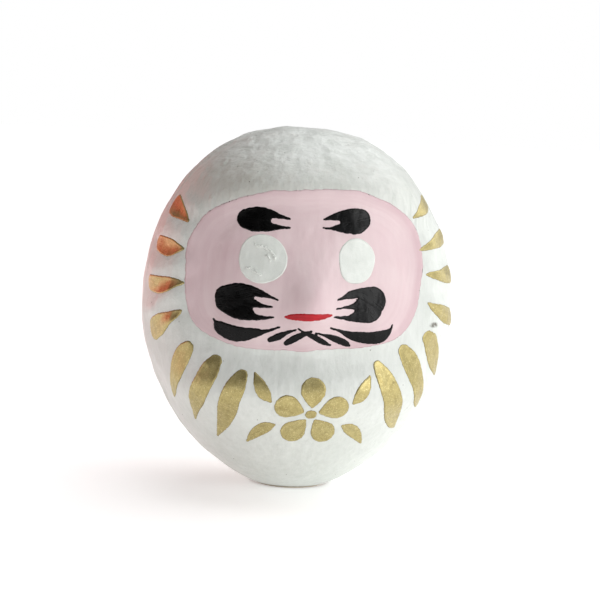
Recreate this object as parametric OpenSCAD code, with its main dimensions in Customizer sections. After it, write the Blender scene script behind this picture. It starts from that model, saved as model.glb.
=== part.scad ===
// Daruma doll: a hollow papier-mache figure with a clay weight, which stands up again when tipped.
// Z is up, the doll faces -Y, and the origin is the middle of the flat standing face.
// Azimuths are degrees round Z: 0 is straight ahead, 90 is the +X side, 180 is the back.

/* [Body] */
// Height of the doll, standing
body_h = 120; // [114:1:126]
// Widest width, from side to side
body_w = 103; // [98:1:108]
// Depth from front to back, as a share of the width
depth_ratio = 0.95; // [0.92:0.01:1]
// Height of the widest ring above the standing face
belly_z = 58; // [56:1:60]
// Fullness of the crown: 2 is an ellipse, more is squarer
crown_power = 2.2; // [2:0.1:2.4]
// Fullness of the underside, in the same measure
under_power = 1.78; // [1.7:0.02:1.9]

/* [Front relief] */
// How far the hood stands out over the face
hood_out = 4.2; // [3:0.2:5]
// How far the chest stands out under the face
chest_out = 5; // [4:0.2:6]
// How far the face is sunk
face_sunk = 2.6; // [2:0.2:3.2]
// How far the nose stands out
nose_out = 4.6; // [3.4:0.2:5.4]
// How far the cheeks stand out
cheek_out = 1.3; // [0.8:0.1:1.8]
// How far the brows stand out
brow_out = 0.9; // [0.4:0.1:1.4]

/* [Walls and layers] */
// Thickness of the moulded paper
paper_t = 1.8; // [1.4:0.1:2.2]
// Thickness of the white ground coat
coat_t = 0.5; // [0.4:0.05:0.7]
// Thickness of the paper strips over the side joints
strip_t = 0.25; // [0.2:0.05:0.35]
// Thickness of the pink face paint
face_t = 0.2; // [0.15:0.05:0.3]
// Thickness of every other brush mark
mark_t = 0.25; // [0.2:0.05:0.35]

/* [Base] */
// Radius of the paper disc that the doll stands on
disc_r = 12; // [11:0.1:12.2]
// Thickness of that disc
disc_t = 0.6; // [0.5:0.05:0.8]
// Rings of the underside that the bare clay covers, below the shell's opening
clay_rings = 3; // [2:1:4]
// Rings that the clay plug reaches up inside the shell
plug_rings = 2; // [1:1:3]
// How far the middle of the plug's top is pressed down
clay_dish = 1.5; // [0:0.5:3]

/* [Grid] */
// Azimuth step of the front half
front_step = 6; // [6, 12]
// Azimuth step of the back half
back_step = 12; // [8, 12, 16]
// Rings from the base to the widest ring
under_rings = 12; // [10:1:14]
// Rings from the widest ring to the crown
crown_rings = 20; // [16:1:22]

/* [Hidden] */

under_h = belly_z + 2.5;      // the underside's curve would close this far below its widest ring
crown_h = body_h - belly_z;
seam_half = 10;               // half the azimuth that a side strip covers
seam_edge = 2;                // azimuth over which its edges are feathered
seam_az = [-seam_half, seam_edge - seam_half, 0, seam_half - seam_edge, seam_half];
seam_top = 76;                // ring angle where the strips end, short of the crown
paste = 0.02;                 // how far a strip's feathered edges bite into the paper
face_mid = [0, 72.2];         // middle of the sunken face: azimuth and height
face_half = [52, 27.6];       // and its half extents
reach = 80;                   // how far a mark is projected outward
stroke_fn = 20;               // sides of the rounds that a brush stroke is made of
mark_round = 47;              // body radius at which a stroke's azimuths are laid out flat

// Outline of the pink field, seen from the front
pink_mid = [-1, 76];
pink_half = [37.8, 24.9];
pink_powers = [2.5, 3.6];     // how square its upper and its lower corners are
pink_lean = 0.9;              // how far it is pulled toward its upper right and lower left
pink_wedges = 24;             // passes of the brush, side by side round the middle
pink_waver = 0.35;            // how far the edge wanders in and out

// Brush strokes are chains of rounds: [across, up, radius], seen from the front
left_brow = [
    [[-20.3, 90.7, 3.2], [-17.3, 90.9, 3.8], [-14.3, 92.6, 1.7], [-10.8, 92.1, 0.8],
        [-7.4, 91.4, 0.3]],
    [[-17.3, 90.9, 3.8], [-14.2, 88.9, 1.7], [-10.7, 88.7, 0.7], [-7.4, 88.7, 0.3]]];
right_brow = [
    [[14.7, 91.9, 3.5], [12.6, 91.5, 4], [9.4, 92.9, 1.9], [6.2, 92.5, 1], [3.1, 91.7, 0.3]],
    [[12.6, 91.5, 4], [9.8, 89.5, 1.8], [7, 89.2, 0.9], [5.1, 89, 0.4], [3, 89.1, 0.3]]];
left_tache = [
    [[-25.8, 66.2, 3.7], [-22.3, 67.2, 3.7], [-18.4, 68.5, 1.8], [-15.4, 68, 1.1],
        [-12.8, 67.3, 0.5], [-10.5, 66.5, 0.3]],
    [[-25.9, 64.8, 3.5], [-22.2, 65, 3.1], [-18.3, 65, 1.5], [-15.3, 64.4, 0.7],
        [-12.1, 64.2, 0.3]],
    [[-25.9, 64.8, 3.5], [-22.2, 63.3, 3.6], [-18.2, 61.1, 1.4], [-15.1, 60.7, 0.7],
        [-11.6, 61.1, 0.3]]];
right_tache = [
    [[19.4, 66.8, 4.6], [16, 69.2, 1.8], [12.3, 68.8, 1.3], [10.3, 68.1, 0.7], [8, 67.3, 0.3]],
    [[18.2, 64.8, 4.7], [16.9, 66.3, 2.4], [13.7, 65.3, 1.1], [10.4, 64.9, 0.4], [7.7, 64.5, 0.3]],
    [[18.2, 64.8, 4.7], [16.2, 62.8, 2.6], [12.6, 61.7, 1.1], [10.2, 61.7, 0.6], [7.1, 62, 0.3]]];
left_lower = [
    [[-29.6, 59, 0.3], [-28.9, 58.1, 0.6], [-27.3, 56.5, 2], [-24, 55.3, 2.5],
        [-20.6, 55.2, 2.2], [-17.1, 55.9, 1.5], [-13.7, 56.6, 0.6], [-9.5, 58.2, 0.3]]];
right_lower = [
    [[6.1, 58.6, 0.3], [9.2, 57.6, 0.5], [12.5, 56.3, 1.2], [15.7, 55.7, 1.7], [19, 55.4, 1.9],
        [22.3, 55.7, 2], [24.6, 56.7, 1.3], [26, 58.1, 0.5], [26.5, 59.3, 0.3]]];
chin_marks = [
    [[-12.4, 54, 0.8], [-10.1, 55, 1.1], [-7.6, 56.4, 0.7], [-4.8, 57.6, 0.3]],
    [[-7.2, 53.3, 0.9], [-4.8, 54.9, 1.1], [-2.4, 56.3, 0.9], [0.1, 57.5, 0.3]],
    [[-4, 58.1, 0.3], [-1.8, 56.8, 0.4], [0.9, 55.7, 0.9], [3.3, 54.4, 0.9], [5.2, 53.5, 0.6],
        [6.4, 53.1, 0.3]],
    [[1.5, 57, 0.3], [3.8, 56.4, 0.4], [6.5, 55.6, 0.9], [8.9, 54.7, 1.1], [11.2, 53.7, 1],
        [12.7, 52.9, 0.3]]];
lips = [
    [[-8, 61.5, 0.3], [-6.6, 61.6, 0.8], [-4.1, 61.8, 1.1], [-1.5, 61.9, 1.2], [0.5, 62, 1.1],
        [3.1, 62.2, 0.9], [4.9, 62.5, 0.6], [6.1, 62.6, 0.3]]];
left_eye = [-15.4, 78.7, 7.3, 7.6];      // middle across and up, half width and half height
right_eye = [13.9, 79.3, 5.9, 7];

// Gold strokes run round the side: [azimuth, up, radius], from the tip to the far end
left_shoulder = [
    [[-57.1, 88.5, 0.4], [-62.3, 90.6, 1.9], [-68, 92.1, 2.9], [-73, 93.2, 3.1]],
    [[-55.8, 79.8, 0.4], [-58.6, 79.7, 1.4], [-63.8, 79.6, 2.8], [-69, 79.9, 2.9],
        [-74.5, 80.4, 2.6]],
    [[-52.8, 69.1, 0.4], [-56.1, 68.9, 1.3], [-60.7, 68.1, 2.4], [-67, 67.4, 2.9],
        [-75, 67.4, 2.7]],
    [[-52.4, 60.3, 0.4], [-54.2, 59.3, 1.2], [-58.8, 57.3, 2.2], [-64.5, 55, 3.4],
        [-71, 52.6, 3.6]]];
right_shoulder = [
    [[50.2, 92.9, 0.4], [53.4, 93.9, 1], [58.8, 95.3, 1.7], [67, 96.8, 2.2], [72, 97.4, 2.2]],
    [[50.6, 82.6, 0.4], [54, 83.4, 1], [59.1, 84.5, 1.7], [66, 85.4, 2.4], [74, 86.2, 2.6]],
    [[52, 74.8, 0.4], [55, 74.6, 1.1], [60.5, 74.2, 1.9], [67, 74, 2.6], [75, 73.9, 2.9]],
    [[51.7, 65.6, 0.4], [54.1, 64.3, 1.2], [59, 62.8, 2.1], [66, 61, 2.8], [74, 59.8, 2.9]]];
left_chest = [
    [[-48.1, 48.9, 2.3], [-51.6, 45.6, 3.6], [-54.6, 41.6, 3.6], [-57.4, 38.2, 2.7],
        [-61, 34.6, 1.7], [-65, 31, 0.4]],
    [[-35.7, 45.7, 2.3], [-37.8, 42.2, 3.5], [-40.7, 37.8, 3.5], [-44.6, 34, 3.1],
        [-49.5, 29.6, 1.8], [-54.9, 24.6, 0.4]],
    [[-24.4, 42.2, 2.1], [-26.2, 38.8, 3.2], [-28.6, 35.2, 3.2], [-31.6, 31.2, 3],
        [-36.6, 26, 2.2], [-43.3, 19.8, 0.4]]];
right_chest = [
    [[27.5, 46.6, 1.6], [29, 43.6, 2.9], [31.2, 39.6, 3.5], [34.4, 35, 3.3], [39.8, 30.2, 2.7],
        [46, 26, 1.7], [50.5, 23.8, 0.4]],
    [[40.1, 50.5, 2.4], [42.8, 47.2, 3.6], [46, 43, 4], [49, 38.6, 3.5], [52.6, 34.7, 2.4],
        [57.5, 31, 0.4]],
    [[52, 54.3, 2.5], [56, 51.4, 3.8], [60.5, 47.4, 3.9], [65, 43.6, 2.2], [69.5, 40.7, 0.4]]];

// Belly ornament: an open blossom between leaves, seen from the front
bloom_mid = [1.5, 31];
petals = 5;
petal_inner = 3;              // where a petal's narrow end lies
petal_outer = 8.2;            // where its round end lies
petal_r = 3.9;
leaf_mark = [[13.1, 4.2, 0.5], [15.2, 6.6, 2], [16.6, 9.2, 1.8], [18, 12.4, 0.4]];
low_leaf = [[11, -4.6, 0.5], [13.8, -6, 2.1], [16.4, -8.4, 1.7], [18.4, -11.6, 0.4]];

// Azimuths of the grid, and the ring angles from the base to just below the crown
front_az = concat([for (d = [0:2]) seam_az[2 + d] - 90], [for (a = [-72:front_step:72]) a],
    [for (d = [0:2]) seam_az[d] + 90]);
back_az = concat([for (d = [0:2]) seam_az[2 + d] + 90], [for (a = [108:back_step:252]) a],
    [for (d = [0:2]) seam_az[d] + 270]);
all_az = concat(front_az, [for (i = [1:len(back_az) - 2]) back_az[i]]);
base_turn = -asin(pow((belly_z - disc_t) / under_h, under_power / 2));
turns = concat([for (i = [0:under_rings - 1]) base_turn * (1 - i / under_rings)],
    [for (i = [0:crown_rings - 1]) 90 * i / crown_rings]);
clay_turns = [for (i = [0:clay_rings]) turns[i]];
plug_turns = [for (i = [clay_rings:clay_rings + plug_rings]) turns[i]];
shell_turns = [for (i = [clay_rings:len(turns) - 1]) turns[i]];
strip_turns = [for (t = shell_turns) if (t < seam_top + 3) t];

function bell(x, width) = exp(-pow(x / width, 2));
function ramp(x) = let (s = max(0, min(1, x))) s * s * (3 - 2 * s);

// Height and half width of the plain body at a ring angle, -90 at the bottom to 90 at the crown
function ring_z(t) = t < 0
    ? belly_z - under_h * pow(sin(-t), 2 / under_power)
    : belly_z + crown_h * pow(sin(t), 2 / crown_power);
function ring_r(t) = body_w / 2 * pow(cos(t), 2 / (t < 0 ? under_power : crown_power));

// What the front stands out beyond the plain body
function relief(a, z) = abs(a) > 84 ? 0 :
    let (
        side = 1 - ramp((abs(a) - 34) / 44),
        u = abs(a - face_mid[0]) / face_half[0],
        v = abs(z - face_mid[1]) / face_half[1],
        rim = pow(pow(u, 2.8) + pow(v, 2.8), 1 / 2.8)
    )
    side * (hood_out * bell(z - 103.5, 9.5) + chest_out * bell(z - 35.5, 8.5))
    - face_sunk * (1 - ramp((rim - 0.8) / 0.36))
    + nose_out * bell(a, 8.6) * bell(z - 66, 9.5)
    + cheek_out * bell(abs(a) - 27, 10.3) * bell(z - 56, 8)
    + brow_out * bell(abs(a) - 22, 11.5) * bell(z - 89, 6);

// Finished surface: a point, and the outward normal there
function skin(a, t) =
    let (
        z = ring_z(t),
        oval = 1 / sqrt(pow(sin(a), 2) + pow(cos(a) / depth_ratio, 2)),
        r = ring_r(t) * oval + relief(a, z)
    ) [r * sin(a), -r * cos(a), z];
function outward(a, t) =
    let (n = cross(skin(a + 0.5, t) - skin(a - 0.5, t),
        skin(a, t + 0.3) - skin(a, t - 0.3))) n / norm(n);
function sunk(a, t, depth) = skin(a, t) - depth * outward(a, t);

// Thickness of the side strips, feathered to nothing at their edges and ends
function strip_at(a, t) = t <= shell_turns[0] || t > seam_top ? 0
    : strip_t * max(0, min(1, (seam_half - asin(abs(cos(a)))) / seam_edge));

// Depths of the white coat's two faces below the plain finish: it rides up over the strips
function coat_outside(a, t) = -strip_at(a, t);
function coat_inside(a, t) = coat_t - strip_at(a, t);

// Two triangles for a quad, leaving out any that a shared crown point has closed
function quad(a, b, c, d) = [
    for (f = [[a, b, c], [a, c, d]]) if (f[0] != f[1] && f[1] != f[2] && f[2] != f[0]) f];

// Closed solid between an outer and an inner sheet of points, each a list of rings.
// loop joins the rings' ends; a crown point on each sheet closes the top.
module shell_solid(outer, inner, loop = false, crown = []) {
    rows = len(outer);
    cols = len(outer[0]);
    side = rows * cols;
    capped = len(crown) > 0;
    function at(layer, i, j) = capped && i == rows
        ? 2 * side + layer
        : layer * side + i * cols + j % cols;
    top = capped ? rows : rows - 1;
    last = loop ? cols : cols - 1;
    faces = [
        for (i = [0:top - 1], j = [0:last - 1])
            each concat(
                quad(at(0, i, j), at(0, i + 1, j), at(0, i + 1, j + 1), at(0, i, j + 1)),
                quad(at(1, i, j), at(1, i, j + 1), at(1, i + 1, j + 1), at(1, i + 1, j))),
        for (j = [0:last - 1])
            each quad(at(0, 0, j), at(0, 0, j + 1), at(1, 0, j + 1), at(1, 0, j)),
        if (!capped) for (j = [0:last - 1])
            each quad(at(0, top, j), at(1, top, j), at(1, top, j + 1), at(0, top, j + 1)),
        if (!loop) for (i = [0:top - 1])
            each concat(
                quad(at(0, i, 0), at(1, i, 0), at(1, i + 1, 0), at(0, i + 1, 0)),
                quad(at(0, i, last), at(0, i + 1, last), at(1, i + 1, last), at(1, i, last)))
    ];
    polyhedron(concat([for (r = outer) each r], [for (r = inner) each r], crown), faces);
}

// Half of the moulded paper, from the opening in the bottom to the crown
module paper_half(azimuths) {
    shell_solid(
        [for (t = shell_turns) [for (a = azimuths) sunk(a, t, coat_t)]],
        [for (t = shell_turns) [for (a = azimuths) sunk(a, t, coat_t + paper_t)]],
        crown = [[0, 0, body_h - coat_t], [0, 0, body_h - coat_t - paper_t]]);
}

// Feathered paper strip over one side joint, on the paper and under the white coat
module seam_strip(side) {
    azimuths = [for (d = seam_az) side * 90 + d];
    shell_solid(
        [for (t = strip_turns) [for (a = azimuths) sunk(a, t, coat_inside(a, t))]],
        [for (t = strip_turns) [for (a = azimuths) sunk(a, t, coat_t + paste)]]);
}

// Patch of a paint layer that covers a stretch of azimuth and height on the front
module paint_patch(azimuths, heights, from, thickness) {
    cols = [for (a = front_az) if (a > azimuths[0] - front_step && a < azimuths[1] + front_step) a];
    rows = [for (t = turns) if (ring_z(t) > heights[0] - 7 && ring_z(t) < heights[1] + 7) t];
    shell_solid(
        [for (t = rows) [for (a = cols) sunk(a, t, -from - thickness)]],
        [for (t = rows) [for (a = cols) sunk(a, t, -from)]]);
}

// Flat brush strokes, each a chain of rounds
module strokes(chains) {
    for (chain = chains, i = [1:len(chain) - 1])
        hull() for (p = [chain[i - 1], chain[i]])
            translate([p[0], p[1]]) circle(p[2], $fn = stroke_fn);
}

// Throws a flat shape outward from the axis, in the direction of an azimuth
module thrown(azimuth) {
    rotate([0, 0, azimuth]) rotate([90, 0, 0]) linear_extrude(reach) children();
}

// Front marks painted on the pink face
module face_marks(chains) {
    across = [for (c = chains) for (p = c) p[0]];
    up = [for (c = chains) for (p = c) p[1]];
    intersection() {
        paint_patch([asin(min(across) / 44) - 6, asin(max(across) / 44) + 6],
            [min(up), max(up)], face_t, mark_t);
        thrown(0) strokes(chains);
    }
}

// Gold strokes, each thrown outward at its own azimuth
module side_marks(chains) {
    for (chain = chains) {
        middle = (chain[0][0] + chain[len(chain) - 1][0]) / 2;
        across = [for (p = chain) p[0]];
        up = [for (p = chain) p[1]];
        intersection() {
            paint_patch([min(across) - 5, max(across) + 5], [min(up), max(up)], 0, mark_t);
            thrown(middle)
                strokes([[for (p = chain) [mark_round * sin(p[0] - middle), p[1], p[2]]]]);
        }
    }
}

// Blank eye: a flat oval of white paint on the pink
module eye_white(eye) {
    intersection() {
        paint_patch([asin((eye[0] - eye[2]) / 44), asin((eye[0] + eye[2]) / 44)],
            [eye[1] - eye[3], eye[1] + eye[3]], face_t, mark_t);
        thrown(0) translate([eye[0], eye[1]]) scale([eye[2] / eye[3], 1]) circle(eye[3], $fn = 40);
    }
}

// One petal of the belly blossom, pointing along its own direction
module petal(turn) {
    rotate(turn) hull() {
        translate([0, petal_inner]) circle(0.6, $fn = stroke_fn);
        translate([0, petal_outer]) circle(petal_r, $fn = stroke_fn);
    }
}

module front_shell() { color("tan") paper_half(front_az); }

module back_shell() { color("burlywood") paper_half(back_az); }

module left_seam_strip() { color("wheat") seam_strip(-1); }

module right_seam_strip() { color("wheat") seam_strip(1); }

// Clay plug: fills the bottom of the shell and shows below its opening
module base_weight() {
    rings = concat(
        [[for (a = all_az) [disc_r * sin(a), -disc_r * cos(a), disc_t]]],
        [for (t = clay_turns) [for (a = all_az) sunk(a, t, coat_t)]],
        [for (t = plug_turns) [for (a = all_az) sunk(a, t, coat_t + paper_t)]]);
    rows = len(rings);
    cols = len(all_az);
    top = rows * cols;
    color("sienna") polyhedron(
        concat([for (r = rings) each r],
            [[0, 0, ring_z(plug_turns[plug_rings]) - clay_dish], [0, 0, disc_t]]),
        concat(
            [for (i = [0:rows - 2], j = [0:cols - 1]) each quad(i * cols + j, (i + 1) * cols + j,
                (i + 1) * cols + (j + 1) % cols, i * cols + (j + 1) % cols)],
            [for (j = [0:cols - 1]) [top - cols + j, top, top - cols + (j + 1) % cols]],
            [for (j = [0:cols - 1]) [j, (j + 1) % cols, top + 1]]));
}

module base_disc() { color("gainsboro") cylinder(disc_t, r = disc_r, $fn = 96); }

// Ground coat over the paper, the side strips and the clay
module white_coat() {
    color("whitesmoke") shell_solid(
        [for (t = turns) [for (a = all_az) sunk(a, t, coat_outside(a, t))]],
        [for (t = turns) [for (a = all_az) sunk(a, t, coat_inside(a, t))]],
        loop = true, crown = [[0, 0, body_h], [0, 0, body_h - coat_t]]);
}

// A point on the pink field's edge, a squarish oval that wanders a little
function pink_edge(turn) =
    let (
        c = cos(turn) / pink_half[0],
        s = sin(turn) / pink_half[1],
        power = pink_powers[s > 0 ? 0 : 1],
        r = pow(pow(abs(c), power) + pow(abs(s), power), -1 / power)
            + pink_lean * sin(2 * turn) + pink_waver * (sin(7 * turn) + sin(11 * turn + 40)) / 2
    ) [r * cos(turn), r * sin(turn)];

// Pink field: wedges round its middle, each with a stretch of the wandering edge
module face_coat() {
    wedge = 360 / pink_wedges;
    color("lightpink") intersection() {
        paint_patch([-62, 62], [pink_mid[1] - pink_half[1], pink_mid[1] + pink_half[1]], 0, face_t);
        thrown(0) translate(pink_mid) for (i = [0:pink_wedges - 1])
            hull() polygon([[0, 0], for (k = [0:3]) pink_edge(wedge * (i + k / 3))]);
    }
}

module left_eye_white() { color("white") eye_white(left_eye); }

module right_eye_white() { color("white") eye_white(right_eye); }

module left_eyebrow() { color("black") face_marks(left_brow); }

module right_eyebrow() { color("black") face_marks(right_brow); }

module left_moustache() { color("black") face_marks(left_tache); }

module right_moustache() { color("black") face_marks(right_tache); }

module left_whisker() { color("black") face_marks(left_lower); }

module right_whisker() { color("black") face_marks(right_lower); }

module chin_beard() { color("black") face_marks(chin_marks); }

module mouth() { color("crimson") face_marks(lips); }

module left_shoulder_strokes() { color("goldenrod") side_marks(left_shoulder); }

module right_shoulder_strokes() { color("goldenrod") side_marks(right_shoulder); }

module left_chest_strokes() { color("goldenrod") side_marks(left_chest); }

module right_chest_strokes() { color("goldenrod") side_marks(right_chest); }

module belly_motif() {
    color("goldenrod") intersection() {
        paint_patch([-34, 38], [18, 44], 0, mark_t);
        thrown(0) {
            translate(bloom_mid) {
                for (i = [0:petals - 1]) petal(360 * i / petals);
                circle(petal_inner / 2, $fn = stroke_fn);
                for (side = [0, 1]) mirror([side, 0]) strokes([leaf_mark, low_leaf]);
            }
        }
    }
}

front_shell();
back_shell();
left_seam_strip();
right_seam_strip();
base_weight();
base_disc();
white_coat();
face_coat();
left_eye_white();
right_eye_white();
left_eyebrow();
right_eyebrow();
left_moustache();
right_moustache();
left_whisker();
right_whisker();
chin_beard();
mouth();
left_shoulder_strokes();
right_shoulder_strokes();
left_chest_strokes();
right_chest_strokes();
belly_motif();
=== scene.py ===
import math

import bmesh
import bpy
import numpy as np
from mathutils import Matrix, Vector


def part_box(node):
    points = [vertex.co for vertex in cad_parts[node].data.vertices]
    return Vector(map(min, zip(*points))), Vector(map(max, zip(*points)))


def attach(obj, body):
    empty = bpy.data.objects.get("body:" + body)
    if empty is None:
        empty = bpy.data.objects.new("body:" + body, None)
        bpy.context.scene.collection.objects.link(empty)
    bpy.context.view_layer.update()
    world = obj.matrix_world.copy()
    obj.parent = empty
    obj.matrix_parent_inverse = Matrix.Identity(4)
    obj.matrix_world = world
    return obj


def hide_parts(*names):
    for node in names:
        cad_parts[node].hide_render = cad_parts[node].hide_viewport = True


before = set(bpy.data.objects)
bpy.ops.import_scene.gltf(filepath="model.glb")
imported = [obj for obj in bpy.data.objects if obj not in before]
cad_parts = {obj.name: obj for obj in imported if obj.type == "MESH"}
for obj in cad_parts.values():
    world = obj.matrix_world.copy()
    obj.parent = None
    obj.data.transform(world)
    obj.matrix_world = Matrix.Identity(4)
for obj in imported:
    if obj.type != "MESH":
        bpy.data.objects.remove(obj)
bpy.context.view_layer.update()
print("frame loaded:", len(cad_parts), "nodes")

mm = 0.001  # shapes below are worked out in millimetres
scene = bpy.context.scene


def tone(red, green, blue):
    # a colour picked on a 0 to 255 scale, as the linear value that shaders take
    return tuple((c / 255 / 12.92) if c <= 10 else ((c / 255 + 0.055) / 1.055) ** 2.4
                 for c in (red, green, blue)) + (1.0,)


def connect(tree, value, socket):
    if isinstance(value, Wire):
        tree.links.new(value.socket, socket)
    else:
        socket.default_value = value


class Wire:
    # one value in a node tree: arithmetic on it adds the nodes that work it out
    def __init__(self, tree, socket):
        self.tree = tree
        self.socket = socket

    def math(self, operation, *others):
        node = self.tree.nodes.new("ShaderNodeMath")
        node.operation = operation
        for socket, value in zip(node.inputs, (self,) + others):
            connect(self.tree, value, socket)
        return Wire(self.tree, node.outputs[0])

    def vector(self, operation, other):
        node = self.tree.nodes.new("ShaderNodeVectorMath")
        node.operation = operation
        connect(self.tree, self, node.inputs[0])
        if operation == "SCALE":
            connect(self.tree, other, node.inputs["Scale"])
        elif other is not None:
            connect(self.tree, other, node.inputs[1])
        return Wire(self.tree, node.outputs["Value" if operation == "LENGTH" else "Vector"])

    def ramp(self, low, high):
        # 0 up to low, 1 from high on, and a smooth rise between
        node = self.tree.nodes.new("ShaderNodeMapRange")
        node.interpolation_type = "SMOOTHSTEP"
        connect(self.tree, self, node.inputs["Value"])
        connect(self.tree, low, node.inputs["From Min"])
        connect(self.tree, high, node.inputs["From Max"])
        return Wire(self.tree, node.outputs["Result"])

    def within(self, rise, fall):
        # 1 between a smooth rise and a smooth fall, 0 outside them
        return self.ramp(*rise) * (1.0 - self.ramp(*fall))

    def clamp(self):
        # kept between 0 and 1
        return self.math("MINIMUM", 1.0).math("MAXIMUM", 0.0)

    def bell(self, middle, width):
        # 1 at the middle, fading out over about the width on either side
        away = (self - middle) / width
        return (away * away * -1).math("EXPONENT")

    def __add__(self, other):
        return self.math("ADD", other)

    def __sub__(self, other):
        return self.math("SUBTRACT", other)

    def __rsub__(self, other):
        return self * -1 + other

    def __mul__(self, other):
        return self.math("MULTIPLY", other)

    def __truediv__(self, other):
        return self.math("DIVIDE", other)

    def __pow__(self, other):
        return self.math("POWER", other)

    def __abs__(self):
        return self.math("ABSOLUTE")

    __radd__ = __add__
    __rmul__ = __mul__


def between(start, end, share):
    return start + share * (end - start)


def joinAxes(tree, x, y, z):
    node = tree.nodes.new("ShaderNodeCombineXYZ")
    for socket, value in zip(node.inputs, (x, y, z)):
        connect(tree, value, socket)
    return Wire(tree, node.outputs[0])


def splitAxes(vector):
    node = vector.tree.nodes.new("ShaderNodeSeparateXYZ")
    connect(vector.tree, vector, node.inputs[0])
    return [Wire(vector.tree, socket) for socket in node.outputs]


def noiseAt(vector, scale, seed, detail=2.0, roughness=0.5):
    # smooth noise between about -0.5 and 0.5
    node = vector.tree.nodes.new("ShaderNodeTexNoise")
    node.noise_dimensions = "4D"
    connect(vector.tree, vector, node.inputs["Vector"])
    connect(vector.tree, seed, node.inputs["W"])
    connect(vector.tree, scale, node.inputs["Scale"])
    node.inputs["Detail"].default_value = detail
    node.inputs["Roughness"].default_value = roughness
    return Wire(vector.tree, node.outputs[0]) - 0.5


def newTree(name, inputs):
    # a geometry tree with the named inputs; returns it with a wire for each input
    tree = bpy.data.node_groups.new(name, "GeometryNodeTree")
    tree.interface.new_socket("Geometry", in_out="INPUT", socket_type="NodeSocketGeometry")
    for label, (kind, start) in inputs.items():
        socket = tree.interface.new_socket(label, in_out="INPUT", socket_type="NodeSocket" + kind)
        if start is not None:
            socket.default_value = start
    tree.interface.new_socket("Geometry", in_out="OUTPUT", socket_type="NodeSocketGeometry")
    entry = tree.nodes.new("NodeGroupInput")
    return tree, {socket.name: Wire(tree, socket) for socket in entry.outputs if socket.name}


def addNode(tree, kind, inputs=None, **settings):
    node = tree.nodes.new(kind)
    for key, value in settings.items():
        setattr(node, key, value)
    for key, value in (inputs or {}).items():
        connect(tree, value, node.inputs[key])
    return node


def grow(tree, kind, inputs=None, **settings):
    # adds a node and returns its first output
    return Wire(tree, addNode(tree, kind, inputs, **settings).outputs[0])


def endTree(tree, geometry, material):
    # smooth, painted and made real, as the last steps of every tree
    smooth = grow(tree, "GeometryNodeSetShadeSmooth", {"Geometry": geometry})
    real = grow(tree, "GeometryNodeRealizeInstances", {"Geometry": smooth})
    painted = grow(tree, "GeometryNodeSetMaterial", {"Geometry": real, "Material": material})
    addNode(tree, "NodeGroupOutput", {"Geometry": painted})


def runTree(name, startMesh, tree, values, material):
    # grows a mesh through a geometry tree and keeps the result as a plain mesh
    seedling = bpy.data.objects.new(name + "Seedling", startMesh)
    scene.collection.objects.link(seedling)
    modifier = seedling.modifiers.new(tree.name, "NODES")
    modifier.node_group = tree
    for item in tree.interface.items_tree:
        if item.in_out == "INPUT" and item.name in values:
            modifier[item.identifier] = values[item.name]
    bpy.context.view_layer.update()
    graph = bpy.context.evaluated_depsgraph_get()
    grown = bpy.data.meshes.new_from_object(seedling.evaluated_get(graph))
    bpy.data.objects.remove(seedling)
    grown.name = name
    grown.materials.clear()
    grown.materials.append(material)
    piece = bpy.data.objects.new(name, grown)
    scene.collection.objects.link(piece)
    return piece


def newMaterial(name):
    material = bpy.data.materials.new(name)
    material.use_nodes = True
    return material, material.node_tree


def placeOn(tree):
    # object coordinates in millimetres
    node = tree.nodes.new("ShaderNodeTexCoord")
    return Wire(tree, node.outputs["Object"]).vector("SCALE", 1000.0)


def readMark(tree, name):
    node = tree.nodes.new("ShaderNodeAttribute")
    node.attribute_name = name
    return Wire(tree, node.outputs["Vector"])


def blend(tree, share, first, second):
    node = addNode(tree, "ShaderNodeMix", data_type="RGBA")
    connect(tree, share, node.inputs["Factor"])
    colours = [s for s in node.inputs if s.type == "RGBA"]
    connect(tree, first, colours[0])
    connect(tree, second, colours[1])
    return Wire(tree, [s for s in node.outputs if s.type == "RGBA"][0])


def finishPaint(material, look, colour, roughness, height):
    # what every paint ends with; its relief is a strength and a depth in metres
    tree = material.node_tree
    shader = tree.nodes["Principled BSDF"]
    strength, deep = look["relief"]
    bumps = grow(tree, "ShaderNodeBump", {"Height": height, "Strength": strength, "Distance": deep})
    connect(tree, colour, shader.inputs["Base Color"])
    connect(tree, roughness + look["roughness"], shader.inputs["Roughness"])
    connect(tree, bumps, shader.inputs["Normal"])
    shader.inputs["Metallic"].default_value = look.get("metal", 0.0)
    shader.inputs["Specular IOR Level"].default_value = look.get("shine", 0.5)
    return material


whiteLook = {
    "bright": tone(226, 229, 224),
    "dull": tone(205, 209, 202),
    # the grime on the crown, and also the painted shade where the hood turns down to the face
    "grimeAndShade": tone(150, 140, 122),
    "speck": tone(104, 98, 86),
    "roughness": 0.36,
    "shine": 0.45,
    "crown": (98.0, 111.0),   # heights between which the brushing turns from down to every way
    "brow": (97.0, 8.0),      # height and reach of the band where the streaks show most
    "paintedShade": (102.0, 8.0),      # and of the band of painted shade where the hood turns down to the face, which is darkest on the left
    "paintedShadeAcross": (-26.0, 18.0),
    "speckScale": 0.35,
    "speckSize": (0.045, 0.085),
    "flaws": [                # a scuff and drops: middle, reach, height to width, shade, lift
        ((42.3, -28.4, 58.4), 3.4, 0.35, 0.9, -0.4),
        ((-27.5, -21.0, 107.6), 1.5, 1.6, 0.0, 1.4),
        ((-31.8, -29.4, 97.4), 1.2, 2.6, 0.0, 1.4),
        ((-14.0, -33.0, 110.0), 1.6, 0.8, 0.0, 1.2)],
    "relief": (0.6, 0.0004),
}


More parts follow.
